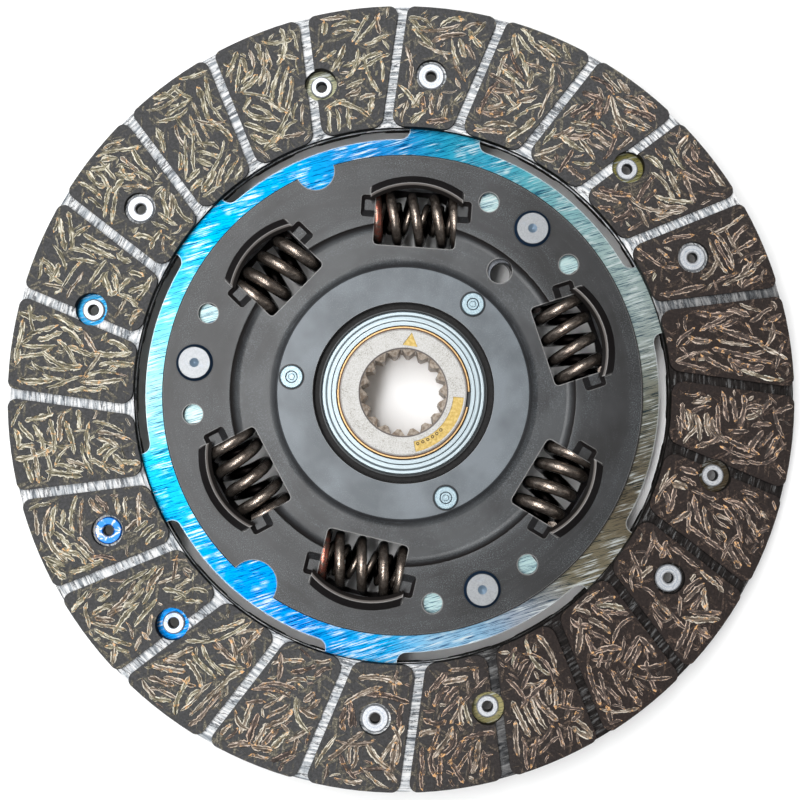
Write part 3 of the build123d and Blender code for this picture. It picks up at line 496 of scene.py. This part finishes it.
def scatter_strands(name, node, side, seed):
    """Bundles of parallel strands over the pads, kept off their edges, holes and each other."""
    field = StrandField(seed, side)
    rng = field.rng
    on_pad = pad_probe(node, side)
    cell = 0.45
    taken = set()
    bundles = 5200

    def clear(line, margin):
        covered = set()
        for place, turn, half in line:
            across = Vector((-sin(turn), cos(turn)))
            for row in (-1.0, 0.0, 1.0):
                if not on_pad(place + across * (half + margin) * row):
                    return None
            for row in (-0.7, 0.0, 0.7):
                spot = place + across * half * row
                covered.add((round(spot.x / cell), round(spot.y / cell)))
        crossed = sum(1 for key in covered if key in taken)
        return covered if crossed <= len(covered) * 0.12 else None

    for trial in range(bundles):
        radius = (rng.uniform(lining_inner_r**2, lining_outer_r**2)) ** 0.5
        bearing = rng.uniform(0, tau)
        centre = Vector((radius * cos(bearing), radius * sin(bearing)))
        heading = rng.uniform(0, pi)
        spacing = rng.uniform(1.7, 2.5)
        bundle_tone = rng.random()
        long_ones = trial < bundles * 0.55
        size = rng.uniform(5.0, 12.0) if long_ones else rng.uniform(1.6, 4.5)
        for k in range(rng.choice((2, 3, 3, 4)) if long_ones else 1):
            offset = Vector((-sin(heading), cos(heading))) * spacing * k
            slide = Vector((cos(heading), sin(heading))) * rng.uniform(-1.8, 1.8)
            length = size * rng.uniform(0.75, 1.15)
            width = rng.uniform(1.2, 2.3) if long_ones else rng.uniform(0.6, 1.3)
            turn = heading + rng.gauss(0, 0.09)
            line = field.outline(centre + offset + slide, turn, length, width, rng.gauss(0, 0.3))
            covered = clear(line, 0.5 if long_ones else 0.35)
            if covered is None:
                continue
            taken |= covered
            # Strand tone is partly random and partly painted shade: darker copper and rose towards the lower
            # right, straw and olive on the left.
            painted_shade_lean = 0.5 + 0.4 * (centre.x / lining_outer_r) - 0.22 * (centre.y / lining_outer_r)
            tone = min(1.0, max(0.0, 0.3 * bundle_tone + 0.7 * painted_shade_lean + rng.gauss(0, 0.1)))
            field.lay(line, rng.uniform(0.05, 0.1), tone)
    piece = field.build(name)
    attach(piece, "friction_disc")
    return piece


# ---------------------------------------------------------------- metal looks
def tinted_sheet_look():
    """Cushion disc: belt-ground spring steel with heat tints that change round the ring."""
    look = Look("tinted_spring_steel")
    drift = look.math("MULTIPLY", look.math("SUBTRACT", look.noise(look.mm, 0.06, detail=2), 0.5), 0.07)
    turn = look.math("ADD", look.math("DIVIDE", look.angle, tau), drift)
    turn = look.math("FRACT", look.math("ADD", turn, 1.0))
    inner = look.ramp(turn, [
        (0.000, lit(136, 136, 122)), (0.045, lit(176, 190, 186)), (0.10, lit(170, 196, 194)),
        (0.16, lit(96, 178, 190)), (0.215, lit(40, 158, 192)), (0.27, lit(30, 136, 206)),
        (0.33, lit(0, 164, 232)), (0.40, lit(0, 190, 240)), (0.455, lit(110, 220, 240)),
        (0.50, lit(172, 230, 236)), (0.545, lit(30, 204, 240)), (0.60, lit(0, 172, 244)),
        (0.68, lit(0, 146, 240)), (0.735, lit(20, 176, 240)), (0.775, lit(140, 200, 236)),
        (0.82, lit(170, 182, 196)), (0.87, lit(140, 132, 110)), (0.93, lit(114, 104, 86)),
        (1.000, lit(136, 136, 122)),
    ])
    outer = look.ramp(turn, [
        (0.00, lit(98, 88, 70)), (0.07, lit(160, 152, 104)), (0.125, lit(160, 152, 88)),
        (0.20, lit(150, 152, 132)), (0.29, lit(176, 174, 142)), (0.38, lit(110, 156, 180)),
        (0.46, lit(60, 176, 236)), (0.54, lit(0, 150, 250)), (0.66, lit(20, 156, 244)),
        (0.74, lit(176, 180, 156)), (0.79, lit(196, 186, 132)), (0.88, lit(104, 88, 68)),
        (1.00, lit(98, 88, 70)),
    ])
    base = look.mix(look.step(look.radius, 71.0, 78.0), inner, outer)
    for row in sight_rows:
        base = look.mix(look.step(look.from_row(row), 3.4, 2.9), base, lit(196, 226, 226))
    scratch = look.noise(look.stretched(17.0, 9.0, 0.5), 1.0, detail=5, roughness=0.65)
    fine = look.noise(look.stretched(15.0, 5.0, 0.16), 1.0, detail=3, roughness=0.6)
    patch = look.noise(look.mm, 0.16, detail=2)
    bare = look.math("MULTIPLY", look.step(scratch, 0.5, 0.62), look.step(patch, 0.42, 0.58))
    deep = look.math("MULTIPLY", look.step(fine, 0.5, 0.42), look.step(scratch, 0.58, 0.46))
    base = look.mix(look.math("MULTIPLY", bare, 0.8), base, lit(232, 240, 240))
    base = look.mix(deep, base, look.mix(1.0, base, colour(84, 112, 140), "MULTIPLY"))
    # Bright along the cut edges: partly bare steel, partly painted highlight.
    base = look.mix(look.math("MULTIPLY", look.edges(0.35), 0.7), base, lit(240, 246, 248))
    rough = look.math("ADD", look.math("MULTIPLY", fine, 0.25), 0.25)
    relief = look.math("ADD", fine, scratch)
    return look.finish(base, rough, metallic=0.42, bump=relief, bump_mm=0.03, bevel_mm=0.08,
                       Specular_IOR_Level=0.0)


def plate_look(name):
    """Guide plates: dark phosphated sheet, painted paler towards the middle as a pool of light, with painted
    shade on steep faces and round rivets, bright along cut edges partly as bare steel and partly as painted
    highlight.
    """
    look = Look(name)
    grain = look.noise(look.mm, 3.6, detail=4, roughness=0.75)
    cloud = look.noise(look.mm, 0.07, detail=3, roughness=0.55)
    smear = look.noise(look.round_about(9.0, 0.16), 1.0, detail=5, roughness=0.7, distortion=0.6)
    outer = look.ramp(cloud, [(0.38, colour(26, 26, 27)), (0.62, colour(42, 43, 45))])
    middle = look.ramp(cloud, [(0.38, colour(84, 90, 95)), (0.62, colour(108, 115, 121))])
    # Painted light: the dish is painted paler than the flat rim round it, and the middle paler still, a pool
    # of light round the hub.
    dish = look.ramp(cloud, [(0.38, colour(44, 45, 47)), (0.62, colour(64, 66, 68))])
    base = look.mix(look.step(look.radius, 47.0, 43.5), outer, dish)
    base = look.mix(look.step(look.radius, 33.5, 32.0), base, middle)
    speck = look.math("MULTIPLY", look.step(grain, 0.5, 0.66), look.step(smear, 0.4, 0.6))
    base = look.mix(look.math("MULTIPLY", speck, 0.32), base, colour(140, 150, 156))
    # Small nicks and rubbed patches where the parts lay in their crate.
    nick = look.noise(look.stretched(52.0, 2.2, 0.4), 1.0, detail=5, roughness=0.8)
    rub = look.noise(look.mm, 0.3, detail=3)
    nicks = look.math("MULTIPLY", look.step(nick, 0.66, 0.74), look.step(rub, 0.52, 0.6))
    base = look.mix(look.math("MULTIPLY", nicks, 0.75), base, colour(196, 204, 210))
    # Painted shade in a fine line round each rivet and peg.
    for row, reach in ((peg_row, 3.3), (spacer_row, 4.95)):
        base = look.mix(look.step(look.from_row(row), reach + 0.15, reach - 0.1), base, colour(10, 13, 17))
    # Painted shade: steep faces, such as the hoods' flanks and the steps, are painted dark.
    steep = look.step(look.math("ABSOLUTE", look.up()), 0.97, 0.75)
    base = look.mix(look.math("MULTIPLY", steep, 0.8), base, colour(24, 20, 20))
    # The hoods' free edges are sheared and face the axis; the top of each cut face is painted bright, partly
    # bare steel and partly painted highlight, and the face below it is painted shade.
    sheared = look.math("MULTIPLY", look.step(look.outward(), -0.2, -0.5), look.step(look.z, 2.2, 2.6))
    upper = look.step(look.z, hood_top_z - 0.55, hood_top_z - 0.35)
    shear = look.mix(upper, colour(24, 21, 20), colour(104, 99, 96))
    base = look.mix(sheared, base, shear)
    # Bright along the cut edges: partly bare steel, partly painted highlight; less of it on the lower part of
    # the hoods' cut faces.
    low_edge = look.math("MULTIPLY", sheared, look.step(look.z, hood_top_z - 0.35, hood_top_z - 0.6))
    kept = look.math("SUBTRACT", 0.6, look.math("MULTIPLY", low_edge, 0.6))
    worn = look.math("MULTIPLY", look.edges(0.3), kept)
    base = look.mix(worn, base, colour(186, 184, 182))
    rough = look.math("ADD", look.math("MULTIPLY", grain, 0.12), 0.27)
    return look.finish(base, rough, bump=grain, bump_mm=0.03, bevel_mm=0.12, Specular_IOR_Level=0.24)


def zinc_look():
    """Zinc-plated hollow rivets, with faint rings from the setting tool."""
    look = Look("zinc_rivets")
    grain = look.noise(look.mm, 4.0, detail=4)
    bearing = look.math("COSINE", look.math("SUBTRACT", look.angle, radians(206.0)))
    blotch = look.noise(look.mm, 0.45, detail=2, distortion=1.0)
    blue = look.math("MULTIPLY", look.step(bearing, 0.93, 0.98), look.step(blotch, 0.42, 0.52))
    base = look.ramp(grain, [(0.3, lit(190, 198, 208)), (0.6, lit(250, 252, 255))])
    ring = look.from_row(lining_rivet_row)
    rings = look.math("ADD", look.band(ring, 2.15, 2.3, 0.08), look.band(ring, 3.15, 3.25, 0.08))
    base = look.mix(look.math("MULTIPLY", rings, 0.5), base, lit(120, 150, 190))
    base = look.mix(blue, base, lit(0, 130, 235))
    # Painted shade: steep faces, such as the walls of the rivets' holes, are painted near black.
    steep = look.step(look.math("ABSOLUTE", look.up()), 0.6, 0.2)
    base = look.mix(look.math("MULTIPLY", steep, 0.9), base, colour(12, 12, 14))
    rough = look.math("ADD", look.math("MULTIPLY", grain, 0.2), 0.28)
    return look.finish(base, rough, metallic=0.4, bump=grain, bump_mm=0.03, bevel_mm=0.1,
                       Specular_IOR_Level=0.3)


def bright_rivet_look():
    look = Look("bright_rivets")
    grain = look.noise(look.mm, 2.8, detail=5, roughness=0.7)
    smear = look.noise(look.mm, 0.5, detail=3)
    centre = look.from_row(spacer_row)
    base = look.ramp(grain, [(0.3, lit(152, 156, 160)), (0.6, lit(178, 181, 184))])
    base = look.mix(look.math("MULTIPLY", look.step(smear, 0.55, 0.75), 0.3), base, lit(170, 184, 200))
    base = look.mix(look.step(centre, 1.3, 1.0), base, lit(140, 166, 190))
    # Painted shade: each head is painted dark blue-grey beyond 3.9 mm from its centre, round its rim.
    base = look.mix(look.step(centre, 3.9, 4.15), base, lit(40, 66, 96))
    rough = look.math("ADD", look.math("MULTIPLY", grain, 0.15), 0.28)
    return look.finish(base, rough, metallic=0.4, bump=grain, bump_mm=0.04, bevel_mm=0.12,
                       Specular_IOR_Level=0.3)


def peg_look():
    look = Look("pale_pegs")
    grain = look.noise(look.mm, 3.4, detail=4)
    centre = look.from_row(peg_row)
    base = look.ramp(grain, [(0.3, lit(150, 176, 190)), (0.65, lit(200, 222, 230))])
    # Dark rings at 1.3 to 1.6 mm and beyond 2.75 mm from each peg's centre; the outer one is painted shade
    # round the peg's rim.
    rings = look.math("ADD", look.band(centre, 1.3, 1.6, 0.08), look.step(centre, 2.75, 2.95))
    base = look.mix(look.math("MULTIPLY", rings, 0.85), base, lit(34, 50, 66))
    return look.finish(base, 0.34, metallic=0.4, bump=grain, bump_mm=0.04, bevel_mm=0.08,
                       Specular_IOR_Level=0.2)


def hub_look():
    """Hub: blasted pale face with gold-coloured stamped marks, taupe spline flanks, turned tail."""
    look = Look("hub_steel")
    grain = look.noise(look.mm, 2.6, detail=5, roughness=0.75)
    pits = look.noise(look.mm, 4.2, detail=3, roughness=0.6)
    face = look.ramp(grain, [(0.36, colour(158, 157, 152)), (0.48, colour(180, 178, 174)), (0.62, grey(192))])
    worn = look.step(look.noise(look.mm, 0.35, detail=2), 0.42, 0.6)
    pit = look.math("MULTIPLY", look.step(pits, 0.55, 0.6), worn)
    face = look.mix(look.math("MULTIPLY", pit, 0.75), face, colour(112, 106, 92))
    flank = look.ramp(look.noise(look.mm, 1.1, detail=4),
                      [(0.38, colour(134, 118, 104)), (0.5, colour(164, 152, 140)),
                        (0.62, colour(190, 178, 164))])
    turned = look.noise(look.round_about(3.0, 3.4), 1.0, detail=3)
    tail = look.ramp(turned, [(0.3, colour(120, 124, 128)), (0.7, colour(178, 182, 184))])
    gold = look.ramp(look.noise(look.mm, 1.4, detail=4),
                     [(0.38, colour(178, 148, 76)), (0.5, colour(190, 162, 88)),
                      (0.62, colour(202, 176, 108))])
    circle_r, first, step, count = punched_dots
    for k in range(count):
        t = radians(first + step * k)
        u = look.math("SUBTRACT", look.x, circle_r * cos(t))
        v = look.math("SUBTRACT", look.y, circle_r * sin(t))
        away = look.math("SQRT", look.math("ADD", look.math("MULTIPLY", u, u), look.math("MULTIPLY", v, v)))
        gold = look.mix(look.band(away, 0.2, 0.42, 0.08), gold, colour(52, 36, 18))
    depth = look.math("SUBTRACT", hub_face_z, look.z)
    on_face = look.step(depth, 0.4, 0.35)
    sunk = look.band(depth, 0.05, 0.4, 0.02)
    on_mark = look.math("MULTIPLY", sunk, look.band(look.radius, 11.9, 15.5, 0.05))
    in_bore = look.step(look.radius, bore_r, bore_r - 0.1)
    rim = look.band(look.radius, bore_r - 0.35, bore_r, 0.05)
    base = look.mix(on_face, tail, face)
    base = look.mix(on_mark, base, gold)
    # Painted shade: the walls of the stamped marks are painted dark brown.
    mark_edge = look.math("MULTIPLY", on_mark, look.step(look.up(), 0.8, 0.5))
    base = look.mix(mark_edge, base, colour(60, 44, 22))
    base = look.mix(in_bore, base, flank)
    base = look.mix(look.math("MULTIPLY", rim, look.step(depth, 1.0, 0.8)), base, colour(118, 112, 110))
    rough = look.math("ADD", look.math("MULTIPLY", grain, 0.2), 0.4)
    return look.finish(base, rough, metallic=0.1, bump=grain, bump_mm=0.04, bevel_mm=0.08,
                       Specular_IOR_Level=0.3)


def bush_look():
    """Lathe-turned bush: fine rings about the axis, painted shade on steep faces, in the groove and along the
    rim.
    """
    look = Look("bush_steel")
    ring = look.noise(look.round_about(1.5, 2.6), 1.0, detail=4, roughness=0.7)
    grain = look.noise(look.mm, 3.0, detail=3)
    base = look.ramp(ring, [(0.32, lit(176, 194, 202)), (0.68, lit(212, 226, 232))])
    # Painted shade: steep faces are painted dark.
    steep = look.step(look.math("ABSOLUTE", look.up()), 0.9, 0.4)
    base = look.mix(look.math("MULTIPLY", steep, 0.85), base, colour(24, 27, 32))
    # Painted shade in the ring's groove and along the rim.
    shaded_groove_and_rim = look.math("MAXIMUM", look.step(look.radius, 17.3, 17.1), look.step(look.radius, 20.8, 21.0))
    base = look.mix(look.math("MULTIPLY", shaded_groove_and_rim, 0.94), base, colour(14, 12, 12))
    relief = look.math("ADD", ring, look.math("MULTIPLY", grain, 0.3))
    rough = look.math("ADD", look.math("MULTIPLY", grain, 0.15), 0.3)
    return look.finish(base, rough, metallic=0.4, bump=relief, bump_mm=0.04, bevel_mm=0.06,
                       Specular_IOR_Level=0.3)


def ring_look():
    """Retaining ring: spring wire tempered gold, with a painted highlight along its crown and painted shade
    elsewhere.
    """
    look = Look("tempered_ring")
    grain = look.noise(look.mm, 3.0, detail=3)
    # Painted highlight along the crown, painted shade on the rest of the wire.
    crown = look.band(look.radius, 16.5, 16.8, 0.12)
    base = look.mix(crown, colour(58, 36, 20), lit(250, 206, 140))
    return look.finish(base, 0.35, metallic=0.4, bump=grain, bump_mm=0.03, bevel_mm=0.1,
                       Specular_IOR_Level=0.3)


def flange_look():
    look = Look("flange_steel")
    grain = look.noise(look.mm, 2.0, detail=5, roughness=0.7)
    base = look.ramp(grain, [(0.3, colour(52, 54, 58)), (0.7, colour(108, 112, 118))])
    return look.finish(base, 0.45, metallic=0.6, bump=grain, bump_mm=0.04, bevel_mm=0.15)


def plastic_look():
    look = Look("friction_plastic")
    grain = look.noise(look.mm, 1.6, detail=5, roughness=0.7)
    base = look.ramp(grain, [(0.38, colour(10, 9, 9)), (0.62, colour(30, 29, 29))])
    return look.finish(base, 0.6, bump=grain, bump_mm=0.03, bevel_mm=0.12, Specular_IOR_Level=0.2)


def spring_look(name, angle=None):
    """Oil-tempered wire, painted shade inside the coil; red paint on one end coil where an angle is given."""
    look = Look(name)
    grain = look.noise(look.mm, 0.9, detail=5, roughness=0.7)
    fine = look.noise(look.mm, 4.5, detail=4, roughness=0.7)
    base = look.ramp(grain, [(0.36, colour(104, 92, 84)), (0.5, colour(136, 125, 116)),
                             (0.64, colour(164, 153, 144))])
    base = look.mix(look.math("MULTIPLY", look.step(fine, 0.46, 0.38), 0.6), base, colour(74, 58, 48))
    if angle is not None:
        side = 1 if angle < 180 else -1
        t = radians(angle + 90)
        reach = look.math("ADD", look.math("MULTIPLY", look.x, side * cos(t)),
                          look.math("MULTIPLY", look.y, side * sin(t)))
        ragged = look.math("ADD", reach, look.math("MULTIPLY", look.math("SUBTRACT", fine, 0.5), 1.5))
        paint = look.math("MULTIPLY", look.step(ragged, 7.6, 8.2), look.step(grain, 0.42, 0.54))
        base = look.mix(look.math("MULTIPLY", paint, 0.8), base, colour(168, 84, 66))
    # Painted shade: the coils are painted black except where they face out of the damper, well clear of its
    # mid-plane.
    outside = look.math("MULTIPLY", look.up(), look.math("SUBTRACT", look.z, damper_z))
    base = look.mix(look.step(outside, 2.4, 0.4), base, colour(10, 6, 5))
    rough = look.math("ADD", look.math("MULTIPLY", fine, 0.2), 0.14)
    return look.finish(base, rough, metallic=0.92, bump=fine, bump_mm=0.05)


# ---------------------------------------------------------------- springs
def squeezable_spring(node, angle, material):
    """A copy of a spring with its own mesh, hung on the damper springs' body."""
    mesh = nodes[node].data.copy()
    mesh.name = node + "_coil"
    coil = bpy.data.objects.new(mesh.name, mesh)
    bpy.context.scene.collection.objects.link(coil)
    dress(coil, material)
    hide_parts(node)
    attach(coil, "damper_springs")
    centre = Vector((cos(radians(angle)), sin(radians(angle)), 0)) * spring_circle_r * MM
    centre.z = damper_z * MM
    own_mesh(coil)
    return coil


def build_springs():
    plain = spring_look("spring_wire")
    # A spring's flat end leans by half the hub's turn against its wall, so its outer corner sets the travel.
    for place, angle in spring_angles.items():
        painted = place in ("top", "bottom")
        material = spring_look(f"spring_wire_{place}", angle) if painted else plain
        squeezable_spring(f"damper_spring_{place}", angle, material)
        if painted:
            squeezable_spring(f"inner_spring_{place}", angle, plain)


# ---------------------------------------------------------------- stage
def build_stage():
    """Plain pale floor under the hub's end, a key light up on the left, soft fill and a dim room."""
    floor_gap = 0.02 * MM
    floor_z = cad_box[0][2] - floor_gap
    mesh = bpy.data.meshes.new("floor")
    reach = 3.0
    mesh.from_pydata([(-reach, -reach, floor_z), (reach, -reach, floor_z), (reach, reach, floor_z),
                      (-reach, reach, floor_z)], [], [(0, 1, 2, 3)])
    floor = bpy.data.objects.new("floor", mesh)
    bpy.context.scene.collection.objects.link(floor)
    look = Look("floor_paper")
    paper = look.ramp(look.noise(look.mm, 0.02, detail=3), [(0.3, grey(249)), (0.7, grey(252))])
    dress(floor, look.finish(paper, 0.9, Specular_IOR_Level=0.0))

    world = bpy.data.worlds.new("room")
    bpy.context.scene.world = world
    world.use_nodes = True
    back = world.node_tree.nodes["Background"]
    back.inputs["Color"].default_value = (0.9, 0.95, 1.0, 1)
    back.inputs["Strength"].default_value = 0.12

    def softbox(name, place, size, radiance, tint=(1.0, 1.0, 1.0)):
        light = bpy.data.lights.new(name, "AREA")
        light.shape = "RECTANGLE"
        light.size, light.size_y = size
        light.energy = radiance * pi * size[0] * size[1]
        light.color = tint
        lamp = bpy.data.objects.new(name, light)
        lamp.location = place
        aim = Vector((place[0] * 0.6, place[1] * 0.6, 0)) - Vector(place)
        lamp.rotation_euler = aim.to_track_quat("-Z", "Y").to_euler()
        bpy.context.scene.collection.objects.link(lamp)

    softbox("key", (-0.25, 0.05, 1.3), (1.2, 0.2), 25.0)
    softbox("overhead", (-0.42, 0.30, 0.95), (1.1, 1.1), 0.8)
    softbox("overhead_fill", (0.0, 0.0, 1.5), (2.4, 2.4), 0.35, tint=(1.0, 0.99, 0.97))
    softbox("left_fill", (-1.2, 0.3, 0.5), (0.4, 0.8), 1.2, tint=(0.9, 0.96, 1.0))
    softbox("right_fill", (1.2, -0.2, 0.5), (0.4, 0.8), 0.8, tint=(1.0, 0.97, 0.93))


def build_camera():
    camera = bpy.data.cameras.new("camera")
    camera.lens = camera_lens
    camera.sensor_width = sensor_width
    camera.shift_x, camera.shift_y = camera_shift
    camera.clip_start = 0.01
    holder = bpy.data.objects.new("camera", camera)
    turn = Matrix.Rotation(camera_tilt_x, 4, "X") @ Matrix.Rotation(camera_tilt_y, 4, "Y")
    holder.matrix_world = Matrix.Translation(camera_place) @ turn
    bpy.context.scene.collection.objects.link(holder)
    bpy.context.scene.camera = holder


# ---------------------------------------------------------------- the scene
def dress_nodes():
    lining = lining_look()
    for name in ("front_lining", "rear_lining"):
        dress(nodes[name], lining)
    zinc = zinc_look()
    for name in ("front_lining_rivets", "rear_lining_rivets"):
        dress(nodes[name], zinc)
    dress(nodes["cushion_disc"], tinted_sheet_look())
    plate = plate_look("phosphated_steel")
    for name in ("front_guide_plate", "rear_guide_plate"):
        dress(nodes[name], plate)
    dress(nodes["spacer_rivets"], bright_rivet_look())
    dress(nodes["washer_pegs"], peg_look())
    dress(nodes["hub"], hub_look())
    flange = flange_look()
    for name in ("hub_flange", "pressure_plate", "diaphragm_spring"):
        dress(nodes[name], flange)
    dress(nodes["front_bush"], bush_look())
    dress(nodes["retaining_ring"], ring_look())
    plastic = plastic_look()
    for name in ("front_friction_washer", "rear_friction_washer", "rear_bush"):
        dress(nodes[name], plastic)


dress_nodes()
build_springs()
strands = strand_look()
dress(scatter_strands("front_lining_strands", "front_lining", 1, 11), strands)
dress(scatter_strands("rear_lining_strands", "rear_lining", -1, 29), strands)
build_stage()
build_camera()
bpy.context.scene.view_settings.view_transform = "Standard"
